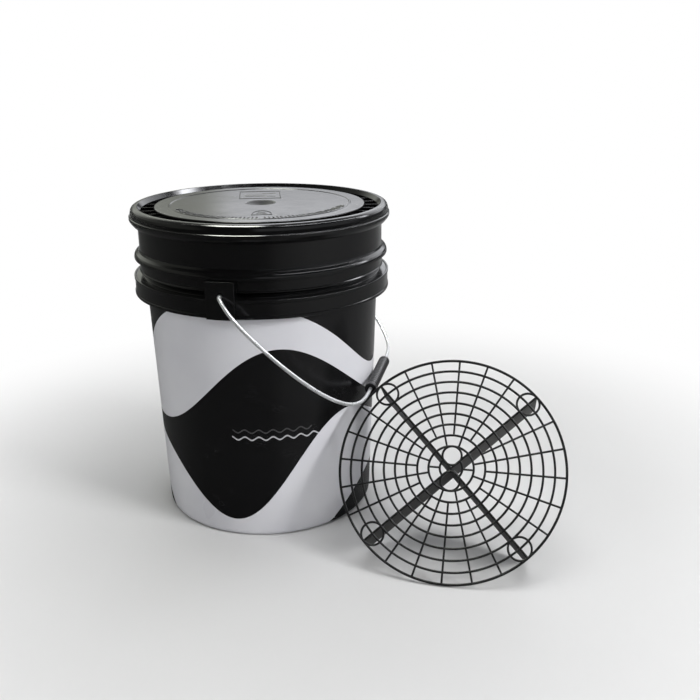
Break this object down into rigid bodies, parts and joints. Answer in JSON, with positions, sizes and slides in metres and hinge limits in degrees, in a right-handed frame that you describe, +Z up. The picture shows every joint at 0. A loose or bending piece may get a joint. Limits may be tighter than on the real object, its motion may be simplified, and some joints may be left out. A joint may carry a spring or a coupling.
{
  "type": "wash bucket",
  "caption": "Car wash pail with a press-fit lid, swing wire handle with a tube grip, printed wrap, and a round grit guard leaning beside it.",
  "frame": {"origin": "centre of the pail's base, on the floor", "axes": "+Z up the pail's axis; the handle pivots lie on Y; the handle hangs down on the +X side"},
  "size_m": [0.5298, 0.3689, 0.378],
  "materials": {
    "pail_plastic": "glossy moulded black polyethylene",
    "printed_film": "satin printed film, pale silver and black",
    "lid_plastic": "semi-gloss moulded black polyethylene",
    "gasket_rubber": "soft matt sealing foam",
    "galvanised_wire": "bright galvanised drawn wire",
    "grip_plastic": "satin black tube",
    "guard_plastic": "satin moulded black polypropylene"
  },
  "bodies": {
    "pail": {"pail_shell": "pail_plastic", "label_wrap": "printed_film"},
    "lid": {"lid": "lid_plastic", "lid_gasket": "gasket_rubber"},
    "bail": {"bail_wire": "galvanised_wire"},
    "grip": {"bail_grip": "grip_plastic"},
    "guard": {"grit_guard": "guard_plastic"}
  },
  "joints": [
    {"name": "lid_lift", "type": "slide", "parent": "pail", "child": "lid", "axis": [0, 0, 1], "range_m": [0, 0.2]},
    {"name": "bail_swing", "type": "hinge", "parent": "pail", "child": "bail", "pos_m": [0, 0, 0.302], "axis": [0, -1, 0], "range_deg": [0, 266]},
    {"name": "grip_spin", "type": "hinge", "parent": "bail", "child": "grip", "pos_m": [0.14337, 0, 0.16689], "axis": [0, 1, 0], "continuous": true},
    {"name": "guard_lift", "type": "slide", "parent": "pail", "child": "guard", "axis": [0.8192, -0.3695, 0.4386], "range_m": [0, 0.25]}
  ]
}
